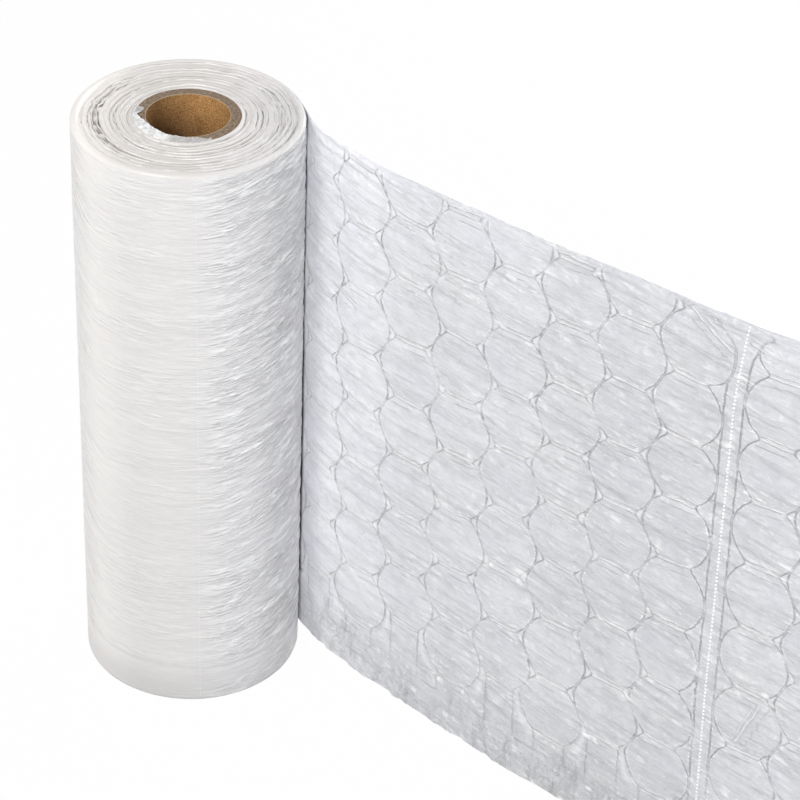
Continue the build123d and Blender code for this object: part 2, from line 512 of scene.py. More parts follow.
def free_film_material():
    """The free film: cool grey milky film, darker at the seals, white at the creases, with painted light,
    shade and highlights over it.
    """
    material, tree, surface = new_material("free film")
    flat = add_node(tree, "ShaderNodeUVMap", uv_map="flat").outputs[0]
    along, up = split_xyz(tree, flat)[:2]
    upright = join_xyz(tree, along, 0.0, maths(tree, "MULTIPLY_ADD", along, 0.12, up))
    vector = stretched(tree, upright, 8.0, 1.2)
    pulled = {"Vector": vector, "Slant": 1.6, "Line width": 0.08}
    strokes = group_node(tree, CRINKLE, pulled).outputs
    cloud = ramp(tree, noise(tree, flat, 22.0, 2.0), 0.35, 0.65)
    colour = mix_colour(tree, cloud, (0.745, 0.75, 0.775, 1), (0.78, 0.78, 0.795, 1))
    blotch = ramp(tree, noise(tree, flat, 105.0, 3.0, 0.65, 0.6), 0.5, 0.58, 0.0, 0.55)
    colour = mix_colour(tree, blotch, colour, (0.68, 0.687, 0.705, 1))
    upended = stretched(tree, join_xyz(tree, up, 0.0, along), 7.0, 2.6)
    crumple = group_node(tree, CRINKLE, {"Vector": upended, "Slant": 2.5, "Line width": 0.035}).outputs
    crumpled = ramp(tree, maths(tree, "MULTIPLY_ADD", cloud, 0.03, up), 0.03, 0.07, 1.0, 0.12)
    # Painted light and shade: lighter beside the roll, where the roll keeps the key lamp off, darker at the
    # bottom, lighter at the top, and darker and then a little lighter again further along
    tone = ramp(tree, along, 0.03, 0.16, 1.22, 1.0)
    for place, low, high, start, end in (
        (up, 0.0, 0.09, 0.9, 1.02),
        (up, 0.32, 0.385, 1.0, 1.04),
        (along, 0.20, 0.28, 1.0, 0.94),
        (along, 0.355, 0.375, 1.0, 1.03),
    ):
        tone = maths(tree, "MULTIPLY", tone, ramp(tree, place, low, high, start, end))
    colour = dimmed(tree, colour, tone)
    sealed, tick_highlights = seam_marks(tree, flat, along, up)
    colour = mix_colour(tree, sealed, colour, (0.48, 0.495, 0.525, 1))
    white, shade = crease_marks(tree, flat)
    # Painted highlights: white wrinkle lines round the necks, ticks by the seams, crumples near the lower
    # edge, and the islets between seams
    pucker = maths(tree, "MULTIPLY", attribute(tree, "pucker"), strokes["Highlight lines"])
    creased = maths(tree, "MULTIPLY", maths(tree, "MULTIPLY", crumple["Highlight lines"], crumpled), 0.45)
    islet = ramp(tree, attribute(tree, "islet"), 0.2, 0.9, 0.0, 0.4)
    painted_fine_highlights = maths(tree, "MAXIMUM", maths(tree, "MAXIMUM", pucker, tick_highlights), creased)
    painted_fine_highlights = maths(tree, "MAXIMUM", painted_fine_highlights, islet)
    # Painted shade of the creases
    colour = mix_colour(tree, shade, colour, (0.54, 0.555, 0.59, 1))
    marks = maths(tree, "SUBTRACT", white, maths(tree, "MULTIPLY_ADD", shade, 0.5, sealed))
    folds = maths(tree, "MULTIPLY", maths(tree, "MULTIPLY", crumple["Height"], crumpled), 2.0)
    marks = maths(tree, "ADD", marks, folds)
    shown = film_surface(tree, surface, colour, strokes, 1.4, 0.6, marks=marks)
    shown = mix_colour(tree, painted_fine_highlights, shown, (0.98, 0.98, 0.98, 1))
    # White creases: part stress whitening, part painted highlight
    shown = mix_colour(tree, white, shown, (1.0, 1.0, 1.0, 1))
    # Painted shade: a near black line in the crevice by the roll, which also lets no light through
    crevice_shade = attribute(tree, "crevice_shade")
    shown = mix_colour(tree, crevice_shade, shown, (0.10, 0.08, 0.08, 1))
    feed(tree, surface["Base Color"], shown)
    milky = mix_colour(tree, 0.35, shown, (0.97, 0.975, 0.98, 1))
    let_light_through(tree, surface, milky, maths(tree, "MULTIPLY_ADD", crevice_shade, -0.47, 0.47))
    return material


def turn_edge_material():
    """Cut edges of the turns at the roll's upper end, with painted shade lower down between them."""
    material, tree, surface = new_material("turn edges")
    place = object_vector(tree)
    strokes = group_node(tree, CRINKLE, {"Vector": stretched(tree, place, 5.0, 2.5)}).outputs
    height = split_xyz(tree, place)[2]
    # Painted shade: darker lower down between the turns' edges
    depth = ramp(tree, height, (FILM_WIDTH - 2.6) * MM, (FILM_WIDTH - 0.6) * MM)
    colour = mix_colour(tree, depth, (0.56, 0.52, 0.48, 1), (0.88, 0.865, 0.85, 1))
    film_surface(tree, surface, colour, strokes, 0.2, 0.2)
    return material


def tear_cut_material():
    """Whitened burrs of the tear-off line's cuts."""
    material, tree, surface = new_material("tear cuts")
    place = object_vector(tree)
    patch = noise(tree, place, 900.0, 2.0)
    colour = mix_colour(tree, ramp(tree, patch, 0.3, 0.7), (0.93, 0.93, 0.94, 1), (1, 1, 1, 1))
    feed(tree, surface["Base Color"], colour)
    feed(tree, surface["Roughness"], ramp(tree, patch, 0.3, 0.7, 0.6, 0.45))
    return material


def clear_film_material():
    """Crumpled single film over the core's rim: glossy and half clear."""
    material, tree, surface = new_material("clear film")
    place = object_vector(tree)
    strokes = group_node(tree, CRINKLE, {"Vector": stretched(tree, place, 3.0, 1.5)}).outputs
    film_surface(tree, surface, (0.96, 0.96, 0.965, 1), strokes, 0.5, 0.8, 0.2)
    x, y = split_xyz(tree, place)[:2]
    angle = maths(tree, "ARCTAN2", y, x)
    front = ramp(tree, angle, -2.05, -1.75, 1.0, 0.35)
    clear = ramp(tree, strokes["Height"], 0.22, 0.42, 0.6, 1.0)
    feed(tree, surface["Alpha"], maths(tree, "MULTIPLY", clear, front))
    return material


def cardboard_material():
    """Kraft tube: speckled brown bore with a wound ply's seam and painted shade deeper in it and on its
    left, and a greyer cut rim in plies.
    """
    material, tree, surface = new_material("kraft board")
    place = object_vector(tree)
    x, y, z = split_xyz(tree, place)
    grain = group_node(tree, GRAIN, {"Vector": place}).outputs
    kraft = mix_colour(tree, grain["Tone"], (0.25, 0.115, 0.035, 1), (0.62, 0.355, 0.135, 1))
    # Painted shade: darker deeper in the bore, and more so on its left
    bore_shade_depths = ramp(tree, x, -0.020, 0.022, 0.16, 0.75)
    painted_bore_shade = ramp(tree, z, (FILM_WIDTH - 42) * MM, (FILM_WIDTH - 6) * MM, bore_shade_depths, 1.0)
    painted_bore_shade = maths(tree, "MULTIPLY", painted_bore_shade, ramp(tree, x, -0.025, 0.008, 0.62, 1.08))
    kraft = dimmed(tree, kraft, painted_bore_shade)
    angle = maths(tree, "DIVIDE", maths(tree, "ARCTAN2", y, x), 2 * math.pi)
    climb = maths(tree, "DIVIDE", z, PLY_SEAM_RISE * MM)
    wound = maths(tree, "FRACT", maths(tree, "ADD", climb, angle))
    off_seam = maths(tree, "ABSOLUTE", maths(tree, "SUBTRACT", wound, 0.5))
    seam = ramp(tree, off_seam, 0.0, 0.003, 0.25, 0.0)
    kraft = mix_colour(tree, seam, kraft, (0.2, 0.11, 0.05, 1))
    radius = vector_maths(tree, "LENGTH", join_xyz(tree, x, y, 0.0))
    plies = maths(tree, "SINE", maths(tree, "MULTIPLY", radius, 2 * math.pi / (RIM_PLY * MM)))
    fibre = join_xyz(tree, maths(tree, "MULTIPLY", angle, 60.0), maths(tree, "DIVIDE", radius, 0.0008), 0.0)
    fibre = noise(tree, fibre, 1.0, 3.0, 0.7)
    wobble = maths(tree, "MULTIPLY_ADD", fibre, 0.9, maths(tree, "MULTIPLY", plies, 0.08))
    speckled = ramp(tree, wobble, 0.25, 0.75)
    cut = mix_colour(tree, speckled, (0.09, 0.055, 0.03, 1), (0.42, 0.32, 0.225, 1))
    top = ramp(tree, z, (FILM_WIDTH - 0.3) * MM, (FILM_WIDTH - 0.1) * MM)
    bottom = ramp(tree, z, 0.3 * MM, 0.1 * MM)
    on_rim = maths(tree, "MAXIMUM", top, bottom)
    lip = ramp(tree, radius, BORE_RADIUS * MM, (BORE_RADIUS + 0.5) * MM, 1.0, 0.0)
    cut = mix_colour(tree, lip, cut, (0.60, 0.47, 0.33, 1))
    feed(tree, surface["Base Color"], mix_colour(tree, on_rim, kraft, cut))
    feed(tree, surface["Roughness"], ramp(tree, grain["Tone"], 0.0, 1.0, 0.85, 0.72))
    bump = add_node(tree, "ShaderNodeBump", {"Height": grain["Height"], "Strength": 0.6})
    bump.inputs["Distance"].default_value = 0.15 * MM
    feed(tree, surface["Normal"], bump.outputs[0])
    return material


# Meshes


def grid_faces(rows, columns):
    """Quads of a grid of points, counted along the columns and then up the rows."""
    index = np.arange(rows * columns).reshape(rows, columns)
    corners = (index[:-1, :-1], index[:-1, 1:], index[1:, 1:], index[1:, :-1])
    return np.stack(corners, -1).reshape(-1, 4)


def new_piece(name, points, faces, material=None, edges=()):
    """An object at the origin whose mesh holds its place, in metres."""
    mesh = bpy.data.meshes.new(name)
    mesh.from_pydata(np.asarray(points).reshape(-1, 3).tolist(), list(edges), np.asarray(faces).tolist())
    if material:
        mesh.materials.append(material)
    mesh.shade_smooth()
    piece = bpy.data.objects.new(name, mesh)
    bpy.context.scene.collection.objects.link(piece)
    return piece


def run_tree(piece, tree, values):
    """Run a geometry tree on a piece, and keep what it makes as the piece's plain mesh."""
    modifier = piece.modifiers.new(tree.name, "NODES")
    modifier.node_group = tree
    for item in tree.interface.items_tree:
        if item.in_out == "INPUT" and item.name in values:
            modifier[item.identifier] = values[item.name]
    evaluated = piece.evaluated_get(bpy.context.evaluated_depsgraph_get())
    made = bpy.data.meshes.new_from_object(evaluated)
    piece.modifiers.clear()
    piece.data = made
    made.name = piece.name
    return piece


def finish_tree(tree, out, geometry, material):
    """The last nodes of each geometry tree."""
    real = add_node(tree, "GeometryNodeRealizeInstances", {0: geometry}).outputs[0]
    painted = add_node(tree, "GeometryNodeSetMaterial", {"Geometry": real, "Material": material})
    feed(tree, out["Geometry"], painted.outputs[0])


def dress_film(piece):
    """Attaches every film piece to the root body, and hides the CAD film."""
    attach(piece, "root")
    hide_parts("pillow_film")


# Smooth steps, and smooth random heights over a flat film, the same on every run


def smooth(value, low, high):
    """0 below low, 1 above high, and a smooth change between them."""
    share = np.clip((value - low) / (high - low), 0, 1)
    return share**2 * (3 - 2 * share)


def film_noise(across, up, seed):
    """Noise from -1 to 1, with a wave about two units long."""
    lattice = np.random.default_rng(seed).uniform(-1, 1, (257, 257))
    column, row = np.floor(across).astype(int), np.floor(up).astype(int)
    part_across, part_up = across - column, up - row
    ease_across = part_across**2 * (3 - 2 * part_across)
    ease_up = part_up**2 * (3 - 2 * part_up)
    column, row = column % 256, row % 256
    lower = lattice[row, column] * (1 - ease_across) + lattice[row, column + 1] * ease_across
    upper = lattice[row + 1, column] * (1 - ease_across) + lattice[row + 1, column + 1] * ease_across
    return lower * (1 - ease_up) + upper * ease_up


# Wound film


def ruffle_share(radius, angle):
    """How ruffled the turns' edges are: most of all in one ring at the left, less at the right."""
    ring = np.exp(-(((radius - RUFFLE_RADIUS) / 4.5) ** 2))
    left = smooth(np.cos(angle - math.radians(LEFT_RUFFLE_ANGLE)), 0.45, 0.95)
    right = smooth(np.cos(angle - math.radians(RIGHT_RUFFLE_ANGLE)), 0.6, 0.95)
    return ring * (left + 0.3 * right)


def turn_end(radius, angle):
    """Height of the roll's upper end, and how much painted shade each point gets for lying in a gap between
    turns.
    """
    x, y = radius * np.cos(angle), radius * np.sin(angle)

    def end_noise(wave, seed):
        return film_noise(x / wave + 60, y / wave + 60, seed)

    ruffled = ruffle_share(radius, angle)
    sway = 0.7 * end_noise(15, 41) + (0.25 + 1.5 * ruffled) * end_noise(3.4, 42)
    turned = angle / (2 * math.pi)
    place = (radius + sway - CORE_RADIUS) / TURN_GROUP_WIDTH - turned
    group = np.floor(place)
    inside = place - group
    wound = group + turned
    low = 0.45 + 0.35 * np.sin(2.1 * wound) + 0.2 * np.sin(5.3 * wound)
    next_low = 0.45 + 0.35 * np.sin(2.1 * (wound + 1)) + 0.2 * np.sin(5.3 * (wound + 1))
    step = smooth(inside, 0.82, 1.0)
    valley = 1 - np.sin(math.pi * inside) ** 0.8
    fine = 1 - np.abs(np.sin(3 * math.pi * inside)) ** 0.6
    depth = 0.55 + 0.45 * np.sin(1.7 * wound + 2)
    sunk = low * (1 - step) + next_low * step + 1.2 * depth * valley + 0.2 * fine
    ruffle_gap = np.clip(ruffled, 0, 1) * smooth(end_noise(5, 43), -0.5, 0.5)
    ruffle_gap = ruffle_gap * smooth(RUFFLE_RADIUS - radius, -1.5, 0.5) * smooth(radius, 51, 53.5)
    inner = smooth(radius, CORE_RADIUS + 0.6, CORE_RADIUS + 3)
    outer = smooth(LAST_RING_RADIUS - radius, -1.4, 0.8)
    height = FILM_WIDTH + 0.2 * (1 - outer) - (sunk + 0.5 + 1.6 * ruffle_gap) * inner * outer
    # Painted shade, deepest in the gaps and ruffles between turns
    gap = (0.8 * depth * valley + 0.25 * fine + 0.8 * ruffle_gap) * inner * outer
    return height, np.clip(gap, 0, 1)


def wound_profile(angle):
    """One line round the ring of wound film: up its side, in over its top, down, and out."""
    side = [(ROLL_RADIUS, z, 0) for z in np.linspace(0.8, SHOULDER_FOOT, SIDE_ROWS)]
    turns = np.linspace(0, math.pi / 2, 9)[1:]
    shoulder = [
        (
            ROLL_RADIUS - SHOULDER_RADIUS * (1 - math.cos(turn)),
            SHOULDER_FOOT + SHOULDER_RADIUS * math.sin(turn),
            0,
        )
        for turn in turns
    ]
    radii = np.linspace(ROLL_RADIUS - SHOULDER_RADIUS - 0.3, CORE_RADIUS + 0.3, TOP_RINGS)
    top = list(zip(radii, *turn_end(radii, angle)))
    bore = [(CORE_RADIUS + 0.15, z, 0) for z in (FILM_WIDTH - 1.2, 200.0, 1.0)]
    bottom = [(radius, 0.15, 0) for radius in np.linspace(CORE_RADIUS + 0.5, ROLL_RADIUS - 0.8, 6)]
    return [*side, *shoulder, *top, *bore, *bottom, side[0]]


def wind_tree():
    """Winds an unrolled ring, drawn as angle, radius and height, and crinkles its film."""
    tree, given, out = new_tree(
        "wind the film",
        "GeometryNodeTree",
        {
            "Geometry": ("NodeSocketGeometry", None),
            "Crinkle depth": ("NodeSocketFloat", 0.0023),
            "Stroke length": ("NodeSocketFloat", 0.018),
            "Stroke height": ("NodeSocketFloat", 0.0038),
            "Channel height": ("NodeSocketFloat", 0.027),
            "Film width": ("NodeSocketFloat", 0.4),
            "Material": ("NodeSocketMaterial", None),
        },
        {"Geometry": "NodeSocketGeometry"},
    )
    position = add_node(tree, "GeometryNodeInputPosition").outputs[0]
    angle, radius, height = split_xyz(tree, position)
    around = join_xyz(tree, maths(tree, "COSINE", angle), maths(tree, "SINE", angle), 0.0)
    level = join_xyz(tree, 0.0, 0.0, height)
    placed = vector_maths(tree, "ADD", scaled(tree, around, radius), level)

    # Strokes pulled round the roll, stronger on its right half and above the channel
    length_count = maths(tree, "DIVIDE", 1.0, given["Stroke length"])
    height_count = maths(tree, "DIVIDE", 1.0, given["Stroke height"])
    count = join_xyz(tree, length_count, length_count, height_count)
    strokes = vector_maths(tree, "MULTIPLY", placed, count)
    drift = maths(tree, "SUBTRACT", noise(tree, strokes, 0.22, 1.0), 0.5)
    slanted = vector_maths(
        tree, "ADD", strokes, join_xyz(tree, 0.0, 0.0, maths(tree, "MULTIPLY", drift, 2.5))
    )
    soft = noise(tree, slanted, 1.0, 2.0, 0.5)
    relief = maths(tree, "SUBTRACT", soft, 0.5)
    facing = vector_maths(tree, "DOT_PRODUCT", around, (0.82, -0.57, 0.0))
    amount = ramp(tree, facing, 0.6, 0.86, 0.3, 1.0)
    rightward = split_xyz(tree, around)[0]
    amount = maths(tree, "MULTIPLY", amount, ramp(tree, rightward, 0.55, 0.95, 1.0, 1.6))
    above = ramp(
        tree,
        height,
        maths(tree, "SUBTRACT", given["Channel height"], 0.002),
        maths(tree, "ADD", given["Channel height"], 0.004),
        0.2,
        1.0,
    )
    side_top = maths(tree, "SUBTRACT", given["Film width"], 0.006)
    below_top = ramp(tree, height, side_top, maths(tree, "ADD", side_top, 0.005), 1.0, 0.25)
    amount = maths(tree, "MULTIPLY", amount, maths(tree, "MULTIPLY", above, below_top))
    push = maths(tree, "MULTIPLY", maths(tree, "MULTIPLY", relief, amount), given["Crinkle depth"])
    channel_line = maths(tree, "ABSOLUTE", maths(tree, "SUBTRACT", height, given["Channel height"]))
    push = maths(tree, "SUBTRACT", push, ramp(tree, channel_line, 0.0, 0.0022, 0.0004, 0.0))
    moved = vector_maths(tree, "ADD", placed, scaled(tree, around, push))
    wound = add_node(
        tree, "GeometryNodeSetPosition", {"Geometry": given["Geometry"], "Position": moved}
    ).outputs[0]
    closed = add_node(tree, "GeometryNodeMergeByDistance", {"Geometry": wound, "Distance": 1e-6})
    finish_tree(tree, out, closed.outputs[0], given["Material"])
    return tree


def make_wound_film(material):
    """The ring of wound turns, drawn unrolled and then wound by its tree."""
    angles = np.linspace(0, 2 * math.pi, ROUND_SEGMENTS + 1)
    lines = np.array([[(angle, *point) for point in wound_profile(angle)] for angle in angles])
    points = lines.transpose(1, 0, 2)
    places = points[..., :3] * (1, MM, MM)
    piece = new_piece("wound_film", places, grid_faces(*points.shape[:2]))
    # Painted shade for the gaps between the turns, kept on each point
    gap = piece.data.attributes.new("gap", "FLOAT", "POINT")
    gap.data.foreach_set("value", points[..., 3].ravel().astype(np.float32))
    return run_tree(
        piece,
        wind_tree(),
        {"Material": material, "Channel height": CHANNEL_HEIGHT * MM, "Film width": FILM_WIDTH * MM},
    )


def turn_edge_tree():
    """Edges of the turns as one spiral of ruffled film standing on the roll's end."""
    tree, given, out = new_tree(
        "turn edges",
        "GeometryNodeTree",
        {
            "Inner radius": ("NodeSocketFloat", 0.0326),
            "Outer radius": ("NodeSocketFloat", 0.0660),
            "Turns": ("NodeSocketFloat", 10.0),
            "Points a turn": ("NodeSocketInt", 220),
            "Height": ("NodeSocketFloat", 0.3986),
            "Edge height": ("NodeSocketFloat", 0.0009),
            "Edge thickness": ("NodeSocketFloat", 0.00030),
            "Ruffle depth": ("NodeSocketFloat", 0.0010),
            "Material": ("NodeSocketMaterial", None),
        },
        {"Geometry": "NodeSocketGeometry"},
    )
    spiral = add_node(
        tree,
        "GeometryNodeCurveSpiral",
        {
            "Resolution": given["Points a turn"],
            "Rotations": given["Turns"],
            "Start Radius": given["Inner radius"],
            "End Radius": given["Outer radius"],
            "Height": 0.0,
        },
    ).outputs[0]
    position = add_node(tree, "GeometryNodeInputPosition").outputs[0]
    radius = vector_maths(tree, "LENGTH", position)
    by_turn = noise(tree, join_xyz(tree, radius, 0.0, 0.0), 700.0, 1.0)
    wander = noise(tree, position, 45.0, 2.0)
    ruffle = noise(tree, position, 190.0, 2.0)
    around = vector_maths(tree, "NORMALIZE", position)
    left = ramp(
        tree, vector_maths(tree, "DOT_PRODUCT", around, (-0.98, -0.2, 0.0)), 0.0, 1.0, 0.15, 1.5
    )
    rise = maths(tree, "ADD", maths(tree, "SUBTRACT", by_turn, 0.5), maths(tree, "SUBTRACT", wander, 0.5))
    rise = maths(tree, "MULTIPLY_ADD", maths(tree, "SUBTRACT", ruffle, 0.55), left, rise)
    rise = maths(tree, "MULTIPLY", rise, 2.0)
    rise = maths(tree, "MULTIPLY_ADD", rise, given["Ruffle depth"], given["Height"])
    sway = maths(tree, "MULTIPLY", maths(tree, "SUBTRACT", wander, 0.5), 0.004)
    sway = maths(
        tree,
        "MULTIPLY_ADD",
        maths(tree, "MULTIPLY", maths(tree, "SUBTRACT", ruffle, 0.5), left),
        0.0022,
        sway,
    )
    outward = scaled(tree, around, sway)
    offset = vector_maths(tree, "ADD", outward, join_xyz(tree, 0.0, 0.0, rise))
    ruffled = add_node(
        tree, "GeometryNodeSetPosition", {"Geometry": spiral, "Offset": offset}
    ).outputs[0]
    upright = add_node(
        tree, "GeometryNodeSetCurveNormal", {"Curve": ruffled}, mode="Z_UP"
    ).outputs[0]
    lip = add_node(
        tree, "GeometryNodeCurvePrimitiveCircle", {"Resolution": 6, "Radius": 1.0}
    ).outputs[0]
    flat = join_xyz(tree, given["Edge thickness"], given["Edge height"], 1.0)
    lip = add_node(tree, "GeometryNodeTransform", {"Geometry": lip, "Scale": flat}).outputs[0]
    ribbon = add_node(
        tree,
        "GeometryNodeCurveToMesh",
        {"Curve": upright, "Profile Curve": lip, "Fill Caps": True},
    ).outputs[0]
    finish_tree(tree, out, ribbon, given["Material"])
    return tree


def make_turn_edges(material):
    """The turns' edges at the upper end."""
    piece = new_piece("turn_edges", [(0, 0, 0)], [])
    return run_tree(
        piece,
        turn_edge_tree(),
        {
            "Material": material,
            "Inner radius": (CORE_RADIUS + 0.8) * MM,
            "Outer radius": LAST_RING_RADIUS * MM,
            "Height": (FILM_WIDTH - 1.5) * MM,
        },
    )


# Free film


def film_plan(distance):
    """Plan place and heading of the film at distances past where it leaves the roll."""
    peel = math.radians(PEEL_ANGLE)
    radius = ROLL_RADIUS - 0.2
    tucked = np.minimum(distance, 0)
    angle = peel - tucked / radius
    sunk = radius - TUCK_DEPTH * (tucked / TUCK_LENGTH) ** 2
    x, y = sunk * np.cos(angle), sunk * np.sin(angle)
    heading = angle - math.pi / 2
    for run_radius, start, end in (
        (BEND_RADIUS, 0, BEND_LENGTH),
        (SLACK_RADIUS, BEND_LENGTH, FREE_LENGTH + 1),
    ):
        run = np.clip(distance, start, end) - start
        turned = heading + run / run_radius
        x = x + run_radius * (np.sin(turned) - np.sin(heading))
        y = y - run_radius * (np.cos(turned) - np.cos(heading))
        heading = turned
    return x, y, heading


def flare(distance, height):
    """How far the lower part of the film stands out towards the viewer."""
    depth = FLARE_DEPTH * (1 - np.exp(-((np.maximum(distance, 0) / FLARE_RUN) ** 2)))
    steep = 3 - 1.7 * smooth(distance, 110, 330)
    return depth * np.clip(1 - height / FLARE_HEIGHT, 0, 1) ** steep


def place_film(distance, height, towards_viewer):
    """Points of the film, in metres, from its flat place and its height off its middle."""

    # Its top is pulled askew near the tear-off line
    slip = 4.8 * np.clip((height - 335) / 65, 0, 1) ** 1.5
    slip = slip * smooth(distance, 230, 330) * smooth(FREE_LENGTH - distance, 0, 100)
    x, y, heading = film_plan(distance + slip)
    grown = smooth(distance, 0, LEAN_RUN)
    off = towards_viewer + TOP_LEAN * (2 * height / FILM_WIDTH - 1) * grown
    x = x + np.sin(heading) * off
    y = y - np.cos(heading) * off - flare(distance, height)

    # It follows the roll's rounded outer edge as long as it lies on the roll
    near_roll = 1 - smooth(distance, -6, 10)
    rounded = np.clip(height - SHOULDER_FOOT, 0, 0.95 * SHOULDER_RADIUS)
    inset = (SHOULDER_RADIUS - np.sqrt(SHOULDER_RADIUS**2 - rounded**2)) * near_roll
    x = x + np.sin(heading) * inset
    y = y - np.cos(heading) * inset

    # Its upper edge drops beside the roll, its far part sinks a little, and its lower edge is wavy
    drop = UPPER_EDGE_DROP * smooth(distance, 0, 38) * (1 - smooth(distance, 25, 75))
    drop = drop * np.clip(height / FILM_WIDTH, 0, 1) ** 8
    sunk = 3 * smooth(distance, 200, 380) * smooth(height, 0, 90) * smooth(300 - height, 0, 150)
    edge = 0.5 * (1 + film_noise(distance / 13 + 31, np.zeros_like(distance), 5)) * grown
    edge = edge + 0.9 * np.abs(film_noise(distance / 3.7, np.zeros_like(distance), 6)) * grown
    height = height - drop - sunk + edge * np.clip(1 - height / 30, 0, 1) + 0.15
    return np.stack([x, y, np.broadcast_to(height, x.shape)], -1) * MM


def film_wave(distance, height):
    """Slack and wrinkles that both plies share."""
    grown = np.clip(distance / 60, 0, 1)
    slack = SLACK_WAVE * film_noise(distance / 55 + 7, height / 70 + 3, 11)
    slant = 1.6 * film_noise(distance / 40, height / 45, 12)
    pulled = 1.1 * (0.5 - np.abs(film_noise(distance / 15, height / 3.6 + slant * 2, 13)))
    fine = 0.5 * (0.5 - np.abs(film_noise(distance / 9 + 50, height / 2.5 + slant * 3, 14)))
    cross = 0.9 * film_noise(distance / 5.5, height / 16, 16) * smooth(46 - height, 0, 40)
    patch = 0.6 + 0.5 * film_noise(distance / 30, height / 25, 15)
    patch = patch * smooth(np.abs(distance - TEAR_LINE), 0, 8)
    return grown * (slack + (pulled + fine) * patch + cross)


def cell_half_width(height, first_neck):
    """Half the width of a column at each height: cusps at the necks, round between them."""
    rise = (height - first_neck) % CELL_PITCH
    rise = np.minimum(rise, CELL_PITCH - rise)
    middle = (CELL_HALF_WIDTH + NECK_HALF_WIDTH + SHOULDER_NOTCH) / 2
    swell = CELL_HALF_WIDTH - middle
    turn = math.pi * (rise - CELL_PITCH / 4) / (CELL_PITCH / 2)
    width = middle + swell * np.sin(turn) - SHOULDER_NOTCH * np.exp(-((rise / NOTCH_FADE) ** 2))
    return np.where(height < first_neck, NECK_HALF_WIDTH, width)


def neck_heights(first_neck):
    return np.arange(first_neck, FILM_WIDTH, CELL_PITCH)


def column_list():
    """Distance and first neck height of each column, staggered on both sides of the tear."""
    before = [
        (LAST_COLUMN - index * COLUMN_PITCH, LOWEST_NECK + CELL_PITCH / 2 * (index % 2))
        for index in range(COLUMNS_BEFORE_TEAR)
    ]
    after = [
        (FIRST_COLUMN_AFTER_TEAR + index * COLUMN_PITCH, LOWEST_NECK + CELL_PITCH / 2 * ((index + 1) % 2))
        for index in range(COLUMNS_AFTER_TEAR)
    ]
    return before[::-1], after


def film_rows():
    """Heights of the rows of points: the channel's line and every neck lie on one."""
    step = CELL_PITCH / 36
    channel = np.linspace(0, CHANNEL_HEIGHT - 0.7, 21)
    inlet = np.linspace(CHANNEL_HEIGHT + 0.7, LOWEST_NECK, 12)
    above = np.arange(LOWEST_NECK + step, FILM_WIDTH - step / 2, step)
    return np.concatenate([channel, [CHANNEL_HEIGHT], inlet, above, [FILM_WIDTH - 0.3]])


def seam_lines(left, right, left_sealed, right_sealed, rows):
    """Seven lines of points across one seam, and how sealed the film is at each."""
    left = left + 0.3 * film_noise(rows / 3.1, left / 9, 51)
    right = right + 0.3 * film_noise(rows / 3.1, right / 9, 52)
    gap = np.maximum(right - left, SEAM_WIDTH)
    middle = (left + right) / 2
    left, right = middle - gap / 2, middle + gap / 2
    seal = np.minimum(SEAL_WIDTH, 0.36 * gap)
    lines = [left, left + seal / 2, left + seal, middle, right - seal, right - seal / 2, right]
    inner = np.clip(1 - (gap - SEAM_WIDTH) / 1.3, 0, 1)
    island = np.clip(1 - (gap - SEAM_WIDTH) / 1.0, 0, 1)
    ones, zeros = np.ones_like(gap), np.zeros_like(gap)
    seals = [zeros, ones, inner, island, inner, ones, zeros]
    for index in range(3):
        if not left_sealed:
            seals[index] = zeros
        if not right_sealed:
            seals[6 - index] = zeros
    seals = np.stack(seals, -1)
    in_channel = rows < CHANNEL_HEIGHT - 0.1
    on_line = np.abs(rows - CHANNEL_HEIGHT) < 0.1
    seals[in_channel] = 0
    if left_sealed and right_sealed:
        seals[on_line] = 1
    return np.stack(lines, -1), seals


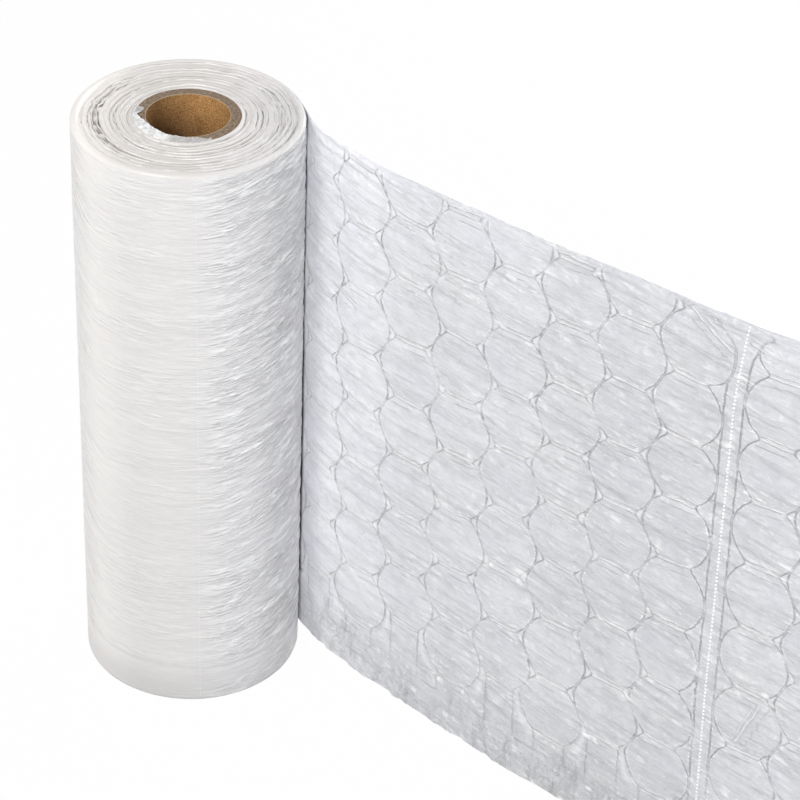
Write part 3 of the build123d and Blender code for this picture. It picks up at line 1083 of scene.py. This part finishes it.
def film_grid():
    """Distances, heights and finish of the film's points, laid out along the cell pattern."""
    rows = film_rows()
    before, after = column_list()
    flat = np.ones_like(rows)

    def edge(column, side):
        centre, first_neck = column
        return centre + side * cell_half_width(rows, first_neck)

    seams = [
        (edge(first, 1), edge(second, -1), True, True) for first, second in zip(before, before[1:])
    ]
    strip_left = (TEAR_LINE - TEAR_STRIP_HALF_WIDTH) * flat
    strip_right = (TEAR_LINE + TEAR_STRIP_HALF_WIDTH) * flat
    last_edge = edge(before[-1], 1)
    top_rise = rows - neck_heights(before[-1][1])[-2]
    rounded = before[-1][0] + np.interp(top_rise, *zip(*TOP_CELL_EDGE))
    last_edge = np.where(top_rise > 0, rounded, last_edge)
    strip_left = np.where(top_rise > 5, rounded + SEAM_WIDTH, strip_left)
    swung = np.clip(rows - SWING_START, 0, SWING_RADIUS - 0.1)
    strip_right = strip_right + SWING_RADIUS - np.sqrt(SWING_RADIUS**2 - swung**2)
    seams.append((last_edge, strip_left, True, True))
    seams.append((strip_right, edge(after[0], -1), True, True))
    seams += [(edge(first, 1), edge(second, -1), True, True) for first, second in zip(after, after[1:])]
    seams.append((edge(after[-1], 1), FREE_LENGTH * flat, True, False))

    distances = [np.full((len(rows), 1), -TUCK_LENGTH)]
    seals = [np.zeros((len(rows), 1))]
    nears = [np.zeros((len(rows), 1))]
    islets = [np.zeros((len(rows), 1))]
    puffs = [np.zeros((len(rows), 1))]
    for index, seam in enumerate(seams):
        lines, sealed = seam_lines(*seam, rows)
        is_strip = index == len(before)
        steps = 8 if is_strip else 24 if index == 0 else 16
        share = np.arange(1, steps) / steps
        start = distances[-1][:, -1:]
        width = lines[:, :1] - start
        distances += [start + width * share, lines]
        bulge = (1 - (2 * share - 1) ** 2) ** 0.8 * np.clip(width / (2 * CELL_HALF_WIDTH), 0, 1.1) ** 1.5
        channel_share = np.clip((CHANNEL_HEIGHT - rows) / 3, 0, 1)[:, None]
        bulge = bulge * (1 - channel_share) + 0.35 * channel_share
        if index == 0:
            bulge = bulge * 0.4
        if is_strip:
            bulge = bulge * 0.12
        gap = lines[:, -1:] - lines[:, :1]
        island = ISLAND_PUFF / CELL_PUFF * np.clip((gap - 2 * SEAL_WIDTH) / 3, 0, 1) * (sealed < 0.1)
        island = island * (1 - channel_share) + 0.35 * channel_share
        seals += [np.zeros_like(bulge), sealed]
        near = np.ones_like(sealed)
        near[:, 3] = np.clip(1 - gap[:, 0] / 5, 0, 1)
        nears += [np.zeros_like(bulge), near * (rows > LOWEST_NECK)[:, None]]
        # Where a painted highlight goes on the islets between seams
        islet = np.zeros_like(sealed)
        beside_tear = index in (len(before) - 1, len(before))
        islet[:, 3] = smooth(gap[:, 0], 3.5, 5.5) * (rows > LOWEST_NECK) * (not beside_tear)
        islets += [np.zeros_like(bulge), islet]
        puffs += [bulge, island]
    distance = np.concatenate(distances, 1)
    height = np.broadcast_to(rows[:, None], distance.shape)
    puff = np.concatenate(puffs, 1) * np.clip((FILM_WIDTH - height) / 9, 0, 1) * np.clip(height / 5, 0, 1)
    marks = {"seal": seals, "seam": nears, "islet": islets}
    marks = {label: np.concatenate(values, 1) for label, values in marks.items()}
    return distance, height, puff, marks


def neck_creases(distance, height):
    """Height off the nearest crease across a neck, and how strong that crease is."""
    rise = np.full_like(distance, CREASE_REACH)
    force = np.zeros_like(distance)
    chance = np.random.default_rng(21)
    before, after = column_list()
    for centre, first_neck in [*before, *after]:
        for neck in neck_heights(first_neck):
            strength = chance.uniform(0.7, 1.0)
            reach = chance.uniform(0.95, 1.15) * NECK_HALF_WIDTH
            tilt = chance.uniform(-0.08, 0.08)
            off = height - neck - tilt * (distance - centre)
            near = (np.abs(off) < CREASE_REACH) & (np.abs(distance - centre) < reach + 3)
            across = smooth(reach + 1 - np.abs(distance - centre), 0, 2)
            faded = across * smooth(CREASE_REACH - np.abs(off), 0, 1)
            rise = np.where(near, off, rise)
            force = np.where(near, strength * faded, force)
    return rise, force * (0.4 + 0.6 * smooth(distance, 30, 130))


def pulled_wrinkles(distance, height, rise, force):
    """The same for the longer wrinkles, which take over where they cross the others."""
    for start, end, strength in PULLED_WRINKLES:
        run = np.subtract(end, start)
        length = np.hypot(*run)
        along = ((distance - start[0]) * run[0] + (height - start[1]) * run[1]) / length
        off = ((height - start[1]) * run[0] - (distance - start[0]) * run[1]) / length
        ends = smooth(along, 0, 0.15 * length) * smooth(length - along, 0, 0.15 * length)
        faded = strength * ends * smooth(CREASE_REACH - np.abs(off), 0, 1)
        taken = faded > force
        rise = np.where(taken, off, rise)
        force = np.where(taken, faded, force)
    return rise, force


def pucker_share(distance, height):
    """How much the film is gathered: round the tips of the necks and along the tear-off line."""
    share = 0.6 * np.clip(1 - np.abs(distance - TEAR_LINE) / 8, 0, 1) * smooth(372 - height, 0, 20)
    before, after = column_list()
    for centre, first_neck in [*before, *after]:
        rise = (height - first_neck + CELL_PITCH / 2) % CELL_PITCH - CELL_PITCH / 2
        for side in (-1, 1):
            apart = np.hypot(distance - centre - side * NECK_HALF_WIDTH, rise)
            share = np.maximum(share, np.exp(-((apart / 7) ** 2)))
    return share


def make_free_film(material):
    """The two plies of the free film, each with its own face outwards."""
    distance, height, puff, marks = film_grid()
    wave = film_wave(distance, height)
    rise, force = pulled_wrinkles(distance, height, *neck_creases(distance, height))
    ridge = CREASE_RIDGE * force * (np.exp(-(rise**2)) - 0.6 * np.exp(-((rise + 2.2) ** 2)))
    marks["crease_rise"] = rise
    marks["crease_force"] = force
    marks["pucker"] = pucker_share(distance, height)
    faces = grid_faces(*distance.shape)
    plies = []
    for name, side in (("free_film_inner_ply", 1), ("free_film_outer_ply", -1)):
        off = wave + ridge * 0.5 + side * (PLY_HALF_GAP + CELL_PUFF * puff + ridge * 0.5)
        points = place_film(distance, height, off)
        # Painted shade for the crevice by the roll, on the inner ply only
        crevice_shade = smooth(CREVICE_SHADE_END - distance, 0, 2.5) * smooth(FILM_WIDTH - height, 0.5, 5)
        marks["crevice_shade"] = crevice_shade * (side > 0)
        piece = new_piece(name, points, faces if side > 0 else faces[:, ::-1], material)
        mesh = piece.data
        for label, values in marks.items():
            layer = mesh.attributes.new(label, "FLOAT", "POINT")
            layer.data.foreach_set("value", values.ravel().astype(np.float32))
        corner = np.zeros(len(mesh.loops), np.int32)
        mesh.loops.foreach_get("vertex_index", corner)
        flat = np.stack([distance.ravel() + TUCK_LENGTH, height.ravel()], -1)[corner] * MM
        mesh.uv_layers.new(name="flat").data.foreach_set("uv", flat.ravel().astype(np.float32))
        plies.append(piece)
    return plies


# Tear-off cuts


def tear_cut_tree():
    """A row of short cuts with raised burrs along a line."""
    tree, given, out = new_tree(
        "tear-off cuts",
        "GeometryNodeTree",
        {
            "Geometry": ("NodeSocketGeometry", None),
            "Pitch": ("NodeSocketFloat", 0.0027),
            "Cut length": ("NodeSocketFloat", 0.0016),
            "Burr width": ("NodeSocketFloat", 0.0010),
            "Burr height": ("NodeSocketFloat", 0.0005),
            "Unevenness": ("NodeSocketFloat", 0.25),
            "Seed": ("NodeSocketInt", 4),
            "Material": ("NodeSocketMaterial", None),
        },
        {"Geometry": "NodeSocketGeometry"},
    )
    line = add_node(tree, "GeometryNodeMeshToCurve", {"Mesh": given["Geometry"]}).outputs[0]
    spaced = add_node(
        tree, "GeometryNodeResampleCurve", {"Curve": line, "Length": given["Pitch"]}, mode="LENGTH"
    ).outputs[0]
    tangent = add_node(tree, "GeometryNodeInputTangent").outputs[0]
    turned = add_node(
        tree, "FunctionNodeAlignRotationToVector", {"Vector": tangent}, axis="Z"
    ).outputs[0]
    burr = add_node(
        tree, "GeometryNodeMeshUVSphere", {"Segments": 8, "Rings": 5, "Radius": 0.5}
    ).outputs[0]
    size = join_xyz(tree, given["Burr height"], given["Burr width"], given["Cut length"])
    burr = add_node(tree, "GeometryNodeTransform", {"Geometry": burr, "Scale": size}).outputs[0]
    uneven = add_node(
        tree,
        "FunctionNodeRandomValue",
        {2: maths(tree, "SUBTRACT", 1.0, given["Unevenness"]), 3: 1.0, "Seed": given["Seed"]},
        data_type="FLOAT",
    ).outputs[1]
    placed = add_node(
        tree,
        "GeometryNodeInstanceOnPoints",
        {"Points": spaced, "Instance": burr, "Rotation": turned, "Scale": uneven},
    ).outputs[0]
    finish_tree(tree, out, placed, given["Material"])
    return tree


def make_tear_cuts(material):
    """The tear-off line of the free film, and the one that shows on the roll's side."""
    tree = tear_cut_tree()
    heights = np.linspace(4, FILM_WIDTH - 3, 200)
    distance = np.full_like(heights, TEAR_LINE)
    free_line = place_film(distance, heights, film_wave(distance, heights) + PLY_HALF_GAP)
    angle = math.radians(WOUND_TEAR_ANGLE)
    radius = ROLL_RADIUS + 0.1
    wound_line = [
        (radius * math.cos(angle) * MM, radius * math.sin(angle) * MM, z * MM) for z in heights
    ]
    edges = [(index, index + 1) for index in range(len(heights) - 1)]
    pieces = []
    for name, line, width, tall, long in (
        ("tear_cuts", free_line, 1.9, 1.9, 1.9),
        ("wound_tear_cuts", wound_line, 0.8, 0.4, 1.1),
    ):
        piece = new_piece(name, line, [], edges=edges)
        values = {
            "Material": material,
            "Pitch": TEAR_CUT_PITCH * MM,
            "Burr width": width * MM,
            "Burr height": tall * MM,
            "Cut length": long * MM,
        }
        pieces.append(run_tree(piece, tree, values))
    return pieces


# Film over the core's rim


def make_rim_flap(material):
    """The inner end of the film, crumpled over the core's rim."""
    edge_turns, edge_radii = zip(*FLAP_EDGE)
    turns = np.radians(np.linspace(edge_turns[0], edge_turns[-1], 150))
    inner = np.interp(turns, np.radians(edge_turns), edge_radii)
    share = np.linspace(0, 1, 15)[:, None]
    radius = inner + (CORE_RADIUS + 1.2 - inner) * share
    crumple = 0.45 * film_noise(turns[None, :] * 12 + share, radius / 1.9, 31)
    crumple = crumple + 0.35 * film_noise(turns[None, :] * 31, radius / 1.1, 32)
    height = FILM_WIDTH + FLAP_LIFT + crumple - 0.8 * share**3
    height = np.maximum(height, FILM_WIDTH + 0.15)
    upper = np.stack([radius * np.cos(turns), radius * np.sin(turns), height], -1) * MM
    lower = upper - np.array([0, 0, FLAP_THICKNESS * MM])
    shell = np.concatenate([upper, lower[::-1]])
    closed = np.concatenate([shell, shell[:1]])
    return new_piece("rim_flap", closed, grid_faces(*closed.shape[:2])[:, ::-1], material)


# Object


wound = wound_film_material()
free = free_film_material()
edges = turn_edge_material()
cuts = tear_cut_material()
clear = clear_film_material()

wound_film = make_wound_film(wound)
turn_edges = make_turn_edges(edges)
plies = make_free_film(free)
tear_cuts = make_tear_cuts(cuts)
rim_flap = make_rim_flap(clear)
for piece in (wound_film, turn_edges, *plies, *tear_cuts, rim_flap):
    dress_film(piece)
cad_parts["core_tube"].material_slots[0].material = cardboard_material()


# Floor, light and camera


def background_share(tree):
    """1 for the rays that see the background: from the camera, mirrored or passed through."""
    rays = add_node(tree, "ShaderNodeLightPath").outputs
    seen = maths(tree, "ADD", rays["Is Camera Ray"], rays["Is Glossy Ray"])
    seen = maths(tree, "ADD", seen, rays["Is Transmission Ray"])
    return maths(tree, "MINIMUM", seen, 1.0)


def make_floor():
    """A plain white floor that keeps the object's soft shadow."""
    reach = 12.0
    corners = [(-reach, -reach, 0), (reach, -reach, 0), (reach, reach, 0), (-reach, reach, 0)]
    material = bpy.data.materials.new("white floor")
    material.use_nodes = True
    tree = material.node_tree
    tree.nodes.clear()
    paint = add_node(tree, "ShaderNodeBsdfDiffuse", {"Color": (0.72, 0.72, 0.72, 1)})
    white = add_node(tree, "ShaderNodeEmission", {"Color": (1, 1, 1, 1), "Strength": 1.0})
    share = maths(tree, "MULTIPLY", background_share(tree), 0.98)
    mixed = add_node(
        tree, "ShaderNodeMixShader", {0: share, 1: paint.outputs[0], 2: white.outputs[0]}
    )
    sink = add_node(tree, "ShaderNodeOutputMaterial")
    feed(tree, sink.inputs["Surface"], mixed.outputs[0])
    floor = new_piece("floor", corners, [(0, 1, 2, 3)], material)


def make_world():
    """Soft even light, with a white background."""
    world = bpy.data.worlds.new("studio")
    bpy.context.scene.world = world
    world.use_nodes = True
    tree = world.node_tree
    tree.nodes.clear()
    soft = add_node(
        tree, "ShaderNodeBackground", {"Color": (0.97, 0.98, 1.0, 1), "Strength": 0.42}
    )
    white = add_node(tree, "ShaderNodeBackground", {"Color": (1, 1, 1, 1), "Strength": 1.0})
    mixed = add_node(
        tree,
        "ShaderNodeMixShader",
        {0: background_share(tree), 1: soft.outputs[0], 2: white.outputs[0]},
    )
    sink = add_node(tree, "ShaderNodeOutputWorld")
    feed(tree, sink.inputs["Surface"], mixed.outputs[0])


def make_lamp(name, place, target, size, power, colour):
    """A square soft lamp, turned to a target."""
    lamp = bpy.data.lights.new(name, "AREA")
    lamp.size = size
    lamp.energy = power
    lamp.color = colour
    holder = bpy.data.objects.new(name, lamp)
    holder.location = place
    aim = Vector(target) - Vector(place)
    holder.rotation_euler = aim.to_track_quat("-Z", "Y").to_euler()
    bpy.context.scene.collection.objects.link(holder)


def make_camera():
    """The photo's view: looking along +Y and down, turned a little about its own axis."""
    camera = bpy.data.objects.new("camera", bpy.data.cameras.new("camera"))
    camera.data.lens = FOCAL_LENGTH
    camera.data.sensor_width = SENSOR_WIDTH
    tilt = Matrix.Rotation(math.radians(90 - CAMERA_DOWN), 4, "X")
    turn = Matrix.Rotation(math.radians(CAMERA_TURN), 4, "Z")
    camera.matrix_world = Matrix.Translation(CAMERA_PLACE) @ tilt @ turn
    bpy.context.scene.collection.objects.link(camera)
    bpy.context.scene.camera = camera


make_floor()
make_world()
make_lamp("key", (-0.75, -1.25, 1.75), (0.05, -0.05, 0.2), 0.5, 23.5, (1.0, 0.98, 0.95))
make_lamp("fill", (0.7, -1.7, 1.0), (0.15, -0.1, 0.2), 0.9, 8.5, (0.96, 0.98, 1.0))
make_lamp("back", (1.3, 1.2, 0.7), (0.2, -0.1, 0.2), 1.4, 23.0, (1.0, 1.0, 1.0))
make_camera()
bpy.context.scene.view_settings.view_transform = "Standard"
